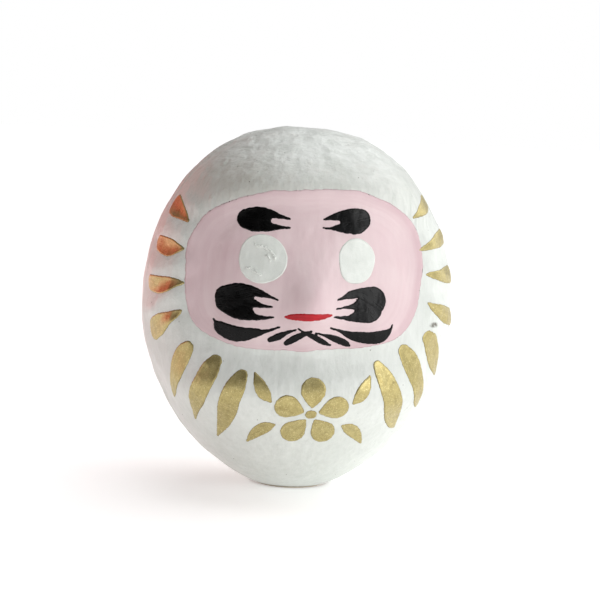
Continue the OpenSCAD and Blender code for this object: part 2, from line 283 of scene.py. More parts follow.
def makeWhitePaint(look):
    # brushed downwards on the front, every way on the crown, with grit caught in it
    material, tree = newMaterial("whitePaint")
    place = placeOn(tree)
    x, y, z = splitAxes(place)
    clouds = noiseAt(place, 0.055, 3.0, 4.0)
    wander = noiseAt(place, 0.09, 31.0, 2.0)
    streaks = noiseAt(joinAxes(tree, x * 0.6 + wander * 1.5, y * 0.6, z * 0.1), 1.0, 8.0, 4.0, 0.6)
    sweeps = noiseAt(joinAxes(tree, x * 0.14 + wander * 1.2, y * 0.16, z * 0.42 + wander * 2.4),
                     1.0, 14.0, 5.0, 0.6)
    crown, brow = z.ramp(*look["crown"]), z.bell(*look["brow"])
    brushed = streaks * (1.0 - crown) * (brow * 0.6 + 0.35) + sweeps * crown * 1.3
    share = (clouds * 1.5 + brushed * 3.6 + 0.68).clamp()
    colour = blend(tree, share, look["dull"], look["bright"])

    # grime rubbed in on the crown, and painted shade in the band where the hood turns down to the
    # face
    handled = (sweeps * 0.7 + noiseAt(place, 0.12, 21.0, 5.0, 0.65)).ramp(-0.05, 0.2) * crown * 0.2
    # painted shade: a darker band under the hood's ridge, stronger on the left
    paintedShade = z.bell(*look["paintedShade"]) * (x.bell(*look["paintedShadeAcross"]) * 0.26 + 0.12)
    colour = blend(tree, handled + paintedShade * (streaks * 3.0 + 1.0), colour, look["grimeAndShade"])

    # grit: dark specks and pale grains
    dots = addNode(tree, "ShaderNodeTexVoronoi", {"Vector": place, "Scale": look["speckScale"]})
    dot = 1.0 - Wire(tree, dots.outputs["Distance"]).ramp(*look["speckSize"])
    kind = splitAxes(Wire(tree, dots.outputs["Color"]))[0]
    dark, grain = kind.math("GREATER_THAN", 0.76), kind.math("LESS_THAN", 0.22)
    colour = blend(tree, dot * dark * 0.85, colour, look["speck"])
    flaws = 0.0
    for middle, reach, tall, shade, lifted in look["flaws"]:
        offset = place.vector("SUBTRACT", middle).vector("MULTIPLY", (1.0, 1.0, 1.0 / tall))
        near = 1.0 - offset.vector("LENGTH", None).ramp(reach * 0.3, reach)
        near = near * (noiseAt(place, 0.9, 17.0, 3.0) * 3.0 + 0.8).math("MAXIMUM", 0.0)
        colour = blend(tree, near * shade, colour, look["speck"])
        flaws = near * lifted + flaws
    height = brushed * 2.6 + noiseAt(place, 0.2, 2.0, 6.0, 0.55) * 2.6 + flaws
    height = height + dot * (grain * 1.2 - dark * 0.7)
    return finishPaint(material, look, colour, clouds * 0.25 + brushed * 0.3, height)


pinkLook = {
    "pale": tone(228, 207, 208),
    "deep": tone(219, 193, 196),
    "rim": tone(200, 165, 172),
    "roughness": 0.42,
    "shine": 0.35,
    "arcsReach": (5.0, 15.0),  # millimetres in from the edge where the brush still follows it
    "thinReach": (0.3, 4.5),  # and where the white shows through
    # a thin line of painted shade along the very edge of the pink
    "edgeShadeReach": (0.02, 0.5),
    "relief": (0.3, 0.00014),
}


def makePinkPaint(look):
    # brushed round along its edge and wiped downwards in the middle
    material, tree = newMaterial("pinkPaint")
    place = placeOn(tree)
    x, y, z = splitAxes(place)
    inward, ringX, ringZ = splitAxes(readMark(tree, "brush"))
    wide = 1.0 - inward.ramp(*look["arcsReach"])
    arcs = noiseAt(joinAxes(tree, inward * 0.8, ringX * 0.05, ringZ * 0.05), 1.0, 4.0, 3.0)
    wipes = noiseAt(joinAxes(tree, x * 0.28, y * 0.28, z * 0.07), 1.0, 9.0, 3.0)
    share = (arcs * wide + wipes * (1.0 - wide)) * 1.7 + noiseAt(place, 0.06, 12.0) * 2.0 + 0.55
    colour = blend(tree, share.math("MINIMUM", 1.0), look["deep"], look["pale"])
    thin = (1.0 - inward.ramp(*look["thinReach"])) * (x.ramp(5.0, 25.0) * 0.3 + 0.15)
    # painted shade: a darker line just inside the pink's edge
    edge = (1.0 - inward.ramp(*look["edgeShadeReach"])) * 0.35
    colour = blend(tree, thin + edge, colour, look["rim"])
    bristles = noiseAt(joinAxes(tree, inward * 3.0, ringX * 0.2, ringZ * 0.2), 1.0, 6.0, 3.0) * wide
    height = bristles + noiseAt(joinAxes(tree, x * 2.2, y * 2.2, z * 0.3), 1.0, 7.0, 3.0) * 0.6
    return finishPaint(material, look, colour, wipes * 0.2, height)


strokeLooks = {
    "eye": {"dark": tone(222, 226, 219), "light": tone(236, 239, 233), "roughness": 0.36,
            "relief": (0.4, 0.00012), "shine": 0.4},
    "black": {"dark": tone(1, 1, 1), "light": tone(6, 6, 6), "roughness": 0.28,
              "relief": (0.6, 0.00012), "shine": 0.19},
    "red": {"dark": tone(165, 16, 28), "light": tone(196, 30, 42), "roughness": 0.32,
            "relief": (0.25, 0.00012), "shine": 0.3},
}


def makeStrokePaint(name, look):
    # glossy paint with the drag of the bristles in its tone and its surface
    material, tree = newMaterial(name)
    across, along, number = splitAxes(readMark(tree, "brush"))
    drag = noiseAt(joinAxes(tree, across * 2.8, along * 0.12, number * 7.0), 1.0, 1.0, 3.0)
    pools = noiseAt(placeOn(tree), 0.35, 6.0, 3.0)
    share = (drag * 1.4 + pools * 1.6 + 0.4).math("MINIMUM", 1.0)
    colour = blend(tree, share, look["dark"], look["light"])
    return finishPaint(material, look, colour, pools * 0.22 + drag * 0.12, drag + pools * 2.5)


goldLook = {
    "deep": tone(150, 134, 82),
    "bright": tone(208, 194, 136),
    "flake": tone(236, 226, 172),
    "rim": tone(112, 92, 50),
    "roughness": 0.4,
    "metal": 0.8,
    "grainScale": 3.4,
    "flakeScale": 4.0,
    "relief": (0.25, 0.00012),
}


def makeGoldPaint(look):
    # bronze powder in varnish: fine grain, a few bright flakes, thin where the brush dragged
    material, tree = newMaterial("goldPaint")
    place = placeOn(tree)
    across, along, number = splitAxes(readMark(tree, "brush"))
    grain = noiseAt(place, look["grainScale"], 11.0, 3.0, 0.7)
    cloud = noiseAt(place, 0.5, 4.0, 2.0)
    rim = 1.0 - splitAxes(readMark(tree, "rise"))[0].ramp(0.1, 0.8)
    drag = noiseAt(joinAxes(tree, across * 1.1, along * 0.09, number * 5.0), 1.0, 2.0, 2.0)
    share = (grain * 1.5 + cloud * 0.9 + drag * 0.6 + 0.5).clamp()
    colour = blend(tree, share, look["deep"], look["bright"])
    flakes = addNode(tree, "ShaderNodeTexVoronoi", {"Vector": place, "Scale": look["flakeScale"]})
    flake = splitAxes(Wire(tree, flakes.outputs["Color"]))[0].ramp(0.86, 0.95)
    colour = blend(tree, flake * 0.45, colour, look["flake"])
    colour = blend(tree, rim * 0.5, colour, look["rim"])
    rough = grain * 0.3 + cloud * 0.2 - flake * 0.1
    return finishPaint(material, look, colour, rough, grain + flake * 0.5 + drag * 0.5)


fibreLooks = {
    # dark and light shade, mottles to a millimetre, roughness
    "mouldedPaper": (tone(176, 158, 128), tone(206, 190, 160), 0.5, 0.85),
    "stripPaper": (tone(205, 196, 172), tone(226, 219, 200), 0.8, 0.8),
    "bareClay": (tone(128, 98, 74), tone(160, 128, 100), 0.3, 0.9),
    "discPaper": (tone(196, 186, 166), tone(222, 214, 196), 0.7, 0.85),
}


def makeFibre(name, dark, light, scale, roughness):
    # pressed paper and clay: mottled, dry and a little rough
    material, tree = newMaterial(name)
    place = placeOn(tree)
    x, y, z = splitAxes(place)
    mottle = noiseAt(place, scale, 1.0, 6.0, 0.7)
    fibres = noiseAt(joinAxes(tree, x * 0.4, y * 2.0, z * 0.9), 1.0, 3.0, 4.0, 0.7)
    colour = blend(tree, (mottle * 1.6 + fibres * 0.9 + 0.5).math("MINIMUM", 1.0), dark, light)
    look = {"roughness": roughness, "relief": (0.4, 0.0003)}
    return finishPaint(material, look, colour, mottle * 0.2, mottle + fibres * 0.7)


paints = {
    "white": makeWhitePaint(whiteLook),
    "pink": makePinkPaint(pinkLook),
    "gold": makeGoldPaint(goldLook),
}
for name, look in strokeLooks.items():
    paints[name] = makeStrokePaint(name + "Paint", look)
for name, values in fibreLooks.items():
    paints[name] = makeFibre(name, *values)
print("paints mixed")


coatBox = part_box("white_coat")
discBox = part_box("base_disc")
bodyShape = {
    "height": coatBox[1].z / mm,
    "width": 103.0,
    "depthRatio": 0.95,
    "bellyHeight": 58.0,      # height of the widest ring
    "standHeight": discBox[1].z / mm,
    "underDrop": 2.5,         # the underside would close this far below the ground
    "crownPower": 2.2,
    "underPower": 1.78,
    "frontFade": (34.0, 78.0),  # azimuths between which the hood and chest fade out
    "poleFade": 8.0,          # and the radius under which all relief does
    "hood": (103.5, 9.5),     # height and reach up
    "hoodOut": 4.2,
    "chest": (35.5, 8.5),
    "chestOut": 5.0,
    "face": (72.2, 27.6, 52.0, 2.8),  # height, half height, half azimuth, squareness
    "faceRim": (0.8, 1.16),   # share of that outline at which it starts and ends to rise
    "faceSunk": 2.6,
    "nose": (0.0, 66.0, 8.6, 9.5),  # azimuth, height, reach round and reach up
    "noseOut": 4.6,
    "cheeks": (27.0, 56.0, 10.3, 8.0),
    "cheeksOut": 1.3,
    "brows": (22.0, 89.0, 11.5, 6.0),
    "browsOut": 0.9,
    "flats": [                # where the paper was pressed flatter, the same and its depth
        (-40.0, 106.0, 15.0, 8.0, 1.7),
        (24.0, 112.0, 16.0, 4.0, 0.5),
        (-62.0, 74.0, 9.0, 12.0, 0.5)],
    "pleatsOut": 1.0,         # ridges of the robe between the shoulder strokes
    "pleatPitch": 9.65,
    "pleatZero": 79.5,        # height of the second stroke's groove
    "pleatFan": (56.0, 76.0),  # azimuths between which they fan out, half as wide again
    "fanHeight": 80.0,        # height that stays level there
    "pleatsRound": ((46.0, 60.0), (70.0, 90.0)),  # where they rise and fall away, by azimuth
    "pleatsUp": ((52.0, 60.0), (92.0, 99.0)),     # and by height
    "stripOut": 0.25,         # paper strips over the side joints, under the coat
    "stripEdge": (8.7, 9.5),  # degrees to either side of the joint
    "stripTop": (72.0, 78.0),  # ring angles
    "stripFoot": (9.0, 11.0),  # heights
    "lumps": 1.0,
    "broadLumps": (0.05, 1.1),  # lumps to a millimetre, and their height
    "smallLumps": (0.14, 0.55),
    "crownLumps": (0.12, 1.5),
    "crownRise": (97.0, 112.0),
    "dragOut": 0.3,           # upright ridges left by the brush
    "deepest": -0.3,
    "calmFoot": (0.6, 7.0),   # heights between which the outside starts to be uneven
    "calmClay": (10.0, 24.0),  # and the inside, above the clay
    "coatThickness": 0.5,
    "columns": 380,
    "rows": 212,
    "wallRows": 40,
    "seed": 7.0,
}


def swell(azimuth, height, middle, level, reachRound, reachUp):
    # 1 in the middle of a round place on the skin, fading out about it
    return azimuth.bell(middle, reachRound) * height.bell(level, reachUp)


def skinPoint(tree, azimuth, turn, s):
    # where the finished skin lies, in millimetres, for an azimuth and a ring angle in degrees
    above = turn.math("GREATER_THAN", 0.0)
    power = 2.0 / s["underPower"] + above * (2.0 / s["crownPower"] - 2.0 / s["underPower"])
    underHeight = s["bellyHeight"] + s["underDrop"]
    rise = abs((turn * math.radians(1)).math("SINE")) ** power
    height = rise * (above * (s["height"] - s["bellyHeight"] + underHeight) - underHeight)
    height = height + s["bellyHeight"]
    spread = (turn * math.radians(1)).math("COSINE").math("MAXIMUM", 0.0)
    sine = (azimuth * math.radians(1)).math("SINE")
    cosine = (azimuth * math.radians(1)).math("COSINE")
    flat = cosine / s["depthRatio"]
    radius = spread ** power * (s["width"] / 2) / (sine * sine + flat * flat).math("SQRT")

    # what the front stands out or sinks in
    off = abs(azimuth)
    bands = height.bell(*s["hood"]) * s["hoodOut"] + height.bell(*s["chest"]) * s["chestOut"]
    relief = (1.0 - off.ramp(*s["frontFade"])) * bands
    level, halfUp, halfRound, square = s["face"]
    outline = (off / halfRound) ** square + (abs(height - level) / halfUp) ** square
    relief = relief - (1.0 - (outline ** (1 / square)).ramp(*s["faceRim"])) * s["faceSunk"]
    for part in ("nose", "cheeks", "brows"):
        relief = relief + swell(off, height, *s[part]) * s[part + "Out"]
    for *place, depth in s["flats"]:
        relief = relief - swell(azimuth, height, *place) * depth
    reach = radius + relief * radius.ramp(0.0, s["poleFade"])
    point = joinAxes(tree, reach * sine, reach * cosine * -1, height)

    # pleats of the robe fan out round the sides, and the paper strips show through
    fan = off.ramp(*s["pleatFan"]) * 0.5 + 1.0
    groove = (height - s["fanHeight"]) / fan + s["fanHeight"] - s["pleatZero"]
    pleat = 0.5 - (groove * (2 * math.pi / s["pleatPitch"])).math("COSINE") * 0.5
    pleat = pleat * s["pleatsOut"] * off.within(*s["pleatsRound"]) * height.within(*s["pleatsUp"])
    strip = (1.0 - abs(off - 90.0).ramp(*s["stripEdge"])) * (1.0 - turn.ramp(*s["stripTop"]))
    strip = strip * height.ramp(*s["stripFoot"]) * s["stripOut"]

    # hand-laid paper is never quite even, least of all on the crown
    away = point.vector("SUBTRACT", (0.0, 0.0, s["bellyHeight"])).vector("NORMALIZE", None)
    x, y, z = splitAxes(point)
    (broad, broadOut), (small, smallOut) = s["broadLumps"], s["smallLumps"]
    fine, fineOut = s["crownLumps"]
    lumps = noiseAt(point, broad, s["seed"], 1.0) * broadOut
    lumps = lumps + noiseAt(point, small, s["seed"] + 1) * smallOut
    crown = noiseAt(point, fine, s["seed"] + 2, 4.0, 0.62) * height.ramp(*s["crownRise"])
    drag = noiseAt(joinAxes(tree, x * 0.5, y * 0.5, z * 0.12), 1.0, s["seed"] + 3, 2.0)
    uneven = (lumps + crown * fineOut + drag * s["dragOut"]) * s["lumps"]
    uneven = uneven.math("SMOOTH_MAX", s["deepest"], 0.3)
    return point, away, uneven, pleat + strip


dials = {
    "Hood out": "hoodOut", "Chest out": "chestOut", "Face sunk": "faceSunk",
    "Nose out": "noseOut", "Pleats out": "pleatsOut", "Strips out": "stripOut",
    "Lumps": "lumps", "Seed": "seed"}


def shapeInputs(s):
    return {label: ("Float", s[key]) for label, key in dials.items()}


def withInputs(s, given):
    # the settings with the tree's own inputs in place of the starting values
    return dict(s, **{key: given[label] for label, key in dials.items()})


def baseTurn(s):
    # ring angle of the foot, where the coat meets the paper disc
    share = (s["bellyHeight"] - s["standHeight"]) / (s["bellyHeight"] + s["underDrop"])
    return -math.degrees(math.asin(share ** (s["underPower"] / 2)))


def hereIn(tree):
    return splitAxes(grow(tree, "GeometryNodeInputPosition"))


def joinParts(tree, parts, weld=2e-6):
    # points closer together than the weld become one
    joined = tree.nodes.new("GeometryNodeJoinGeometry")
    for part in parts:
        tree.links.new(part.socket, joined.inputs[0])
    return grow(tree, "GeometryNodeMergeByDistance",
                {"Geometry": Wire(tree, joined.outputs[0]), "Distance": weld})


def coatTree(s, material):
    # the white coat: an outer and an inner sheet that meet at the foot
    tree, given = newTree("coatRule", {
        "Columns": ("Int", s["columns"]), "Rows": ("Int", s["rows"]),
        "Wall rows": ("Int", s["wallRows"]), "Thickness": ("Float", s["coatThickness"]),
        **shapeInputs(s)})
    s = withInputs(s, given)
    foot = baseTurn(s)
    sheets = []
    for inner in (False, True):
        grid = grow(tree, "GeometryNodeMeshGrid", {
            "Vertices X": given["Columns"] + 1,
            "Vertices Y": given["Wall rows" if inner else "Rows"] + 1})
        across, up, _ = hereIn(tree)
        turn = (up + 0.5) * (90.0 - foot) + foot
        point, away, uneven, raised = skinPoint(tree, across * 360.0, turn, s)
        height = splitAxes(point)[2]
        if inner:
            # the lowest ring, at -0.5, has no depth, so that it meets the outer sheet
            out = uneven * height.ramp(*s["calmClay"]) - up.ramp(-0.5, -0.499) * given["Thickness"]
        else:
            out = (uneven + raised) * height.ramp(*s["calmFoot"])
        place = point.vector("ADD", away.vector("SCALE", out)).vector("SCALE", mm)
        sheet = grow(tree, "GeometryNodeSetPosition", {"Geometry": grid, "Position": place})
        if inner:
            sheet = grow(tree, "GeometryNodeFlipFaces", {"Mesh": sheet})
        sheets.append(sheet)
    endTree(tree, joinParts(tree, sheets), material)
    return tree


def wallTree(s, name, material):
    # a closed piece of wall under the coat: a slab bent to the body's rule
    tree, given = newTree(name, {
        "Columns": ("Int", 120), "Rows": ("Int", 100),
        "First azimuth": ("Float", -90.0), "Last azimuth": ("Float", 90.0),
        "First turn": ("Float", -50.0), "Last turn": ("Float", 90.0),
        "Outer depth": ("Float", s["coatThickness"]), "Inner depth": ("Float", 2.3),
        **shapeInputs(s)})
    s = withInputs(s, given)
    sheet = grow(tree, "GeometryNodeMeshGrid", {
        "Vertices X": given["Columns"] + 1, "Vertices Y": given["Rows"] + 1})
    risen = grow(tree, "GeometryNodeExtrudeMesh", {
        "Mesh": sheet, "Offset": (0.0, 0.0, 1.0), "Offset Scale": 1.0, "Individual": False})
    floor = grow(tree, "GeometryNodeFlipFaces", {"Mesh": sheet})
    slab = joinParts(tree, [risen, floor], weld=1e-4)
    across, up, layer = hereIn(tree)
    azimuth = between(given["First azimuth"], given["Last azimuth"], across + 0.5)
    turn = between(given["First turn"], given["Last turn"], up + 0.5)
    point, away, uneven, raised = skinPoint(tree, azimuth, turn, s)
    height = splitAxes(point)[2]
    depth = between(given["Inner depth"], given["Outer depth"], layer)
    out = uneven * height.ramp(*s["calmClay"]) + raised * layer - depth
    place = point.vector("ADD", away.vector("SCALE", out)).vector("SCALE", mm)
    bent = grow(tree, "GeometryNodeSetPosition", {"Geometry": slab, "Position": place})
    endTree(tree, joinParts(tree, [bent]), material)
    return tree


skinRule = coatTree(bodyShape, paints["white"])
whiteCoat = runTree("whiteCoat", bpy.data.meshes.new("coatStart"), skinRule, {}, paints["white"])
# a finer skin for the paint to be thrown on
fineSkin = runTree("fineSkin", bpy.data.meshes.new("fineStart"), skinRule,
                   {"Columns": 1000, "Rows": 600, "Wall rows": 300}, paints["white"])
paperRule = wallTree(bodyShape, "paperRule", paints["mouldedPaper"])
stripRule = wallTree(bodyShape, "stripRule", paints["stripPaper"])
wallRows = 110
wallFoot = baseTurn(bodyShape) * 0.75  # ring angle of the lowest edge, above the disc
walls = {
    # rule, columns, first and last azimuth, last ring angle, inner depth, strip height
    "frontShell": (paperRule, 180, -90.0, 90.0, 90.0, 2.3, 0.0),
    "backShell": (paperRule, 120, 90.0, 270.0, 90.0, 2.3, 0.0),
    "leftSeamStrip": (stripRule, 20, -100.0, -80.0, 78.0, 0.52, bodyShape["stripOut"]),
    "rightSeamStrip": (stripRule, 20, 80.0, 100.0, 78.0, 0.52, bodyShape["stripOut"]),
}


def makeWall(name, rule, columns, first, last, top, inner, strips):
    return runTree(name, bpy.data.meshes.new(name + "Start"), rule, {
        "Columns": columns, "Rows": wallRows, "First azimuth": first, "Last azimuth": last,
        "First turn": wallFoot, "Last turn": top, "Outer depth": bodyShape["coatThickness"],
        "Inner depth": inner, "Pleats out": 0.0, "Strips out": strips},
        paints["mouldedPaper" if rule is paperRule else "stripPaper"])


wallPieces = {name: makeWall(name, *values) for name, values in walls.items()}
print("body shaped:", len(whiteCoat.data.polygons), "faces")


def easedChain(chain, steps=12):
    # rounds of a stroke, eased smoothly from one set-down point to the next
    p = np.array(chain, float)
    p = np.vstack([2 * p[0] - p[1], p, 2 * p[-1] - p[-2]])
    t = np.linspace(0, 1, steps, endpoint=False)[:, None]
    spans = [0.5 * (2 * b + (c - a) * t + (2 * a - 5 * b + 4 * c - d) * t ** 2
                    + (3 * b - a - 3 * c + d) * t ** 3)
             for a, b, c, d in zip(p, p[1:], p[2:], p[3:])]
    rounds = np.vstack(spans + [p[-2:-1]])
    rounds[:, 2] = np.maximum(rounds[:, 2], 0.08)
    return rounds


def ragged(points, amount, pitch):
    # a small wander for a painted edge
    u, v = points[:, 0] / pitch, points[:, 1] / pitch
    return amount * (np.sin(5.1 * u + 2.3 * np.sin(3.7 * v)) + np.sin(4.3 * v + 1.9 * np.sin(4.9 * u))
                     + 0.6 * np.sin(11.3 * u + 9.7 * v)) / 2.6


class StrokeField:
    # how far a flat point lies outside a set of strokes, and where along them it lies
    def __init__(self, chains, waver=0.09):
        self.waver = waver
        self.rounds = []
        self.marks = []
        for number, chain in enumerate(chains):
            rounds = easedChain(chain)
            steps = np.diff(rounds[:, :2], axis=0)
            length = np.concatenate([[0], np.cumsum(np.hypot(*steps.T))])
            way = np.vstack([steps, steps[-1:]])
            way /= np.maximum(np.hypot(*way.T), 1e-6)[:, None]
            self.rounds.append(rounds)
            self.marks.append(np.column_stack([length, way, np.full(len(rounds), number)]))
        self.rounds = np.vstack(self.rounds)
        self.marks = np.vstack(self.marks)

    def nearest(self, points):
        off = points[:, None, :] - self.rounds[None, :, :2]
        gap = np.hypot(off[..., 0], off[..., 1]) - self.rounds[None, :, 2]
        best = gap.argmin(1)
        rows = np.arange(len(points))
        return gap[rows, best], best, off[rows, best]

    def gap(self, points):
        return self.nearest(points)[0] + ragged(points, self.waver, 1.9)

    def brush(self, points):
        _, best, off = self.nearest(points)
        length, wayX, wayY, number = self.marks[best].T
        across = off[:, 0] * wayY - off[:, 1] * wayX
        return np.column_stack([across, length + off[:, 0] * wayX + off[:, 1] * wayY, number])

    def extent(self):
        r = self.rounds
        return ((r[:, :2] - r[:, 2:]).min(0) - 1, (r[:, :2] + r[:, 2:]).max(0) + 1)


class OvalField:
    # a squarish oval with a wandering edge
    def __init__(self, middle, half, powers, waver=0.1, wander=((0, 0, 0),)):
        self.middle = np.array(middle, float)
        self.half = np.array(half, float)
        self.powers = powers
        self.waver = waver
        self.wander = wander

    def gap(self, points):
        d = points - self.middle
        turn = np.arctan2(d[:, 1], d[:, 0])
        c, s = np.abs(np.cos(turn)) / self.half[0], np.abs(np.sin(turn)) / self.half[1]
        power = np.where(turn > 0, *self.powers)
        edge = (c ** power + s ** power) ** (-1 / power)
        for waves, depth, start in self.wander:
            edge = edge + depth * np.sin(waves * turn + start)
        return np.hypot(d[:, 0], d[:, 1]) - edge + ragged(points, self.waver, 2.6)

    def brush(self, points):
        d = points - self.middle
        ring = d / np.maximum(np.hypot(*d.T), 1e-6)[:, None] * self.half.mean()
        return np.column_stack([-self.gap(points), ring])

    def extent(self):
        reach = self.half + sum(abs(w[1]) for w in self.wander) + 1
        return self.middle - reach, self.middle + reach


def inParts(rule, points):
    # a few thousand points at a time, to spare memory
    return np.concatenate([rule(part) for part in np.array_split(points, len(points) // 4000 + 1)])


def flatMark(name, field, cell, edge, bead, creases):
    # a flat mesh of the mark, seen from outside: its rim is drawn onto the painted edge.
    # "rise" says how thick the paint stands, "brush" how the bristles ran
    low, high = field.extent()
    xs = np.arange(low[0], high[0] + cell, cell)
    zs = np.arange(low[1], high[1] + cell, cell)
    gridX, gridZ = np.meshgrid(xs, zs, indexing="ij")
    points = np.column_stack([gridX.ravel(), gridZ.ravel()])
    gap = inParts(field.gap, points)
    inside = (gap < 0).reshape(gridX.shape)
    ids = np.arange(points.shape[0]).reshape(gridX.shape)
    keep = inside[:-1, :-1] | inside[1:, :-1] | inside[1:, 1:] | inside[:-1, 1:]
    quads = np.stack([ids[:-1, :-1][keep], ids[1:, :-1][keep], ids[1:, 1:][keep],
                      ids[:-1, 1:][keep]], 1)
    used, quads = np.unique(quads, return_inverse=True)
    quads = quads.reshape(-1, 4)
    points, gap = points[used], gap[used]
    rim = gap >= 0
    h = cell * 0.05
    for _ in range(5):
        p = points[rim]
        here = field.gap(p)
        slope = np.column_stack([field.gap(p + [h, 0]) - field.gap(p - [h, 0]),
                                 field.gap(p + [0, h]) - field.gap(p - [0, h])]) / (2 * h)
        steep = np.maximum((slope ** 2).sum(1), 0.3)
        step = -slope * (here / steep)[:, None]
        longest = np.maximum(np.hypot(*step.T) / cell, 1)
        points[rim] = p + step / longest[:, None]
    depth = np.where(rim, 0, -gap)
    t = np.clip(depth / edge, 0, 1)
    rise = t * t * (3 - 2 * t) * (1 + bead * np.exp(-((depth - edge) / edge) ** 2))
    if creases:
        fold = np.maximum(StrokeField(creases, 0.3).gap(points), 0) / 0.16
        rise = rise * (1 + (2.0 + ragged(points, 1.6, 0.7)) * np.exp(-fold ** 2))
    mesh = bpy.data.meshes.new(name + "Flat")
    mesh.from_pydata(np.column_stack([points[:, 0], 0 * points[:, 0], points[:, 1]]).tolist(), [],
                     quads.tolist())
    mesh.attributes.new("rise", "FLOAT", "POINT").data.foreach_set("value", rise.astype(np.float32))
    mesh.attributes.new("brush", "FLOAT_VECTOR", "POINT").data.foreach_set(
        "vector", inParts(field.brush, points).astype(np.float32).ravel())
    return mesh


def paintTree(name, material):
    # throws a flat mark onto the body along its azimuth, as a closed film of paint
    tree, given = newTree(name, {
        "Body": ("Object", None), "Azimuth": ("Float", 0.0), "Lift": ("Float", 0.02),
        "Thickness": ("Float", 0.14), "Bury": ("Float", 0.05)})
    body = addNode(tree, "GeometryNodeObjectInfo", {"Object": given["Body"]})
    spin = given["Azimuth"] * math.radians(1)
    x, _, z = hereIn(tree)
    start = joinAxes(tree, x * mm, -0.1, z * mm)    # well in front of the body
    rays = [grow(tree, "ShaderNodeVectorRotate", {"Vector": vector, "Angle": spin},
                 rotation_type="Z_AXIS") for vector in (start, (0.0, 1.0, 0.0))]
    cast = addNode(tree, "GeometryNodeRaycast", {
        "Target Geometry": Wire(tree, body.outputs["Geometry"]),
        "Source Position": rays[0], "Ray Direction": rays[1], "Ray Length": 0.2})
    hit, normal = Wire(tree, cast.outputs["Hit Position"]), Wire(tree, cast.outputs["Hit Normal"])
    rise = grow(tree, "GeometryNodeInputNamedAttribute", {"Name": "rise"}, data_type="FLOAT")
    faces = []
    for height in (given["Lift"] + given["Thickness"] * rise,
                   given["Lift"] - given["Bury"] * (rise * 3.0).math("MINIMUM", 1.0)):
        place = hit.vector("ADD", normal.vector("SCALE", height * mm))
        faces.append(grow(tree, "GeometryNodeSetPosition", {
            "Geometry": given["Geometry"], "Position": place}))
    under = grow(tree, "GeometryNodeFlipFaces", {"Mesh": faces[1]})
    endTree(tree, joinParts(tree, [faces[0], under], weld=1e-6), material)
    return tree


paintRules = {key: paintTree(key + "Film", paints[key])
              for key in ("pink", "eye", "black", "red", "gold")}


def layMark(name, paint, layers, cell=0.24, edge=0.3, bead=0.2, lift=0.02, thickness=0.14,
            creases=()):
    # layers: a list of (azimuth, field); returns one piece
    parts = []
    for number, (azimuth, field) in enumerate(layers):
        flat = flatMark(f"{name}{number}", field, cell, edge, bead, creases)
        parts.append(runTree(f"{name}Part{number}", flat, paintRules[paint], {
            "Body": fineSkin, "Azimuth": float(azimuth), "Lift": lift, "Thickness": thickness},
            paints[paint]))
    if len(parts) > 1:
        with bpy.context.temp_override(active_object=parts[0], selected_editable_objects=parts,
                                       selected_objects=parts):
            bpy.ops.object.join()
    parts[0].name = name
    parts[0].data.name = name
    return parts[0]


pinkOutline = {
    "middle": (-1.0, 76.0),
    "half": (37.8, 24.9),
    "powers": (2.5, 3.6),     # how square its upper and its lower corners are
    "waver": 0.13,
    "wander": ((2, 0.9, 0.0), (7, 0.16, 0.0), (12, 0.14, 2.0), (19, 0.1, 1.0)),
}
pinkThickness = 0.11
pinkFace = layMark("pinkFace", "pink", [(0, OvalField(**pinkOutline))], cell=0.42, edge=0.5,
                   bead=0.35, thickness=pinkThickness)
print("pink field laid")

onPink = pinkThickness + 0.02     # marks on the face start on top of the pink

eyes = {
    "left": {"middle": (-15.4, 78.7), "half": (7.3, 7.6), "powers": (2.1, 2.0), "waver": 0.05,
             "wander": ((2, 0.12, 0.6), (3, 0.18, 2.0))},
    "right": {"middle": (13.9, 79.3), "half": (5.9, 7.0), "powers": (2.0, 2.2), "waver": 0.05,
              "wander": ((3, 0.16, 1.0), (5, 0.06, 0.0))},
}
# where the wet paint of the left eye wrinkled
eyeCreases = [
    [(-17.6, 83.0, 0.05), (-16.2, 82.6, 0.12), (-14.7, 82.2, 0.16), (-13.2, 81.4, 0.14),
     (-12.1, 80.2, 0.12), (-11.7, 78.8, 0.05)],
    [(-20.5, 76.0, 0.05), (-18.6, 75.4, 0.12), (-17.0, 74.6, 0.12), (-15.7, 73.9, 0.05)],
    [(-14.4, 79.9, 0.05), (-13.6, 79.3, 0.08), (-13.2, 78.4, 0.05)],
]
leftEye = layMark("leftEyeWhite", "eye", [(0, OvalField(**eyes["left"]))], cell=0.11,
                  lift=onPink, thickness=0.16, creases=eyeCreases)
rightEye = layMark("rightEyeWhite", "eye", [(0, OvalField(**eyes["right"]))], lift=onPink,
                   thickness=0.16)

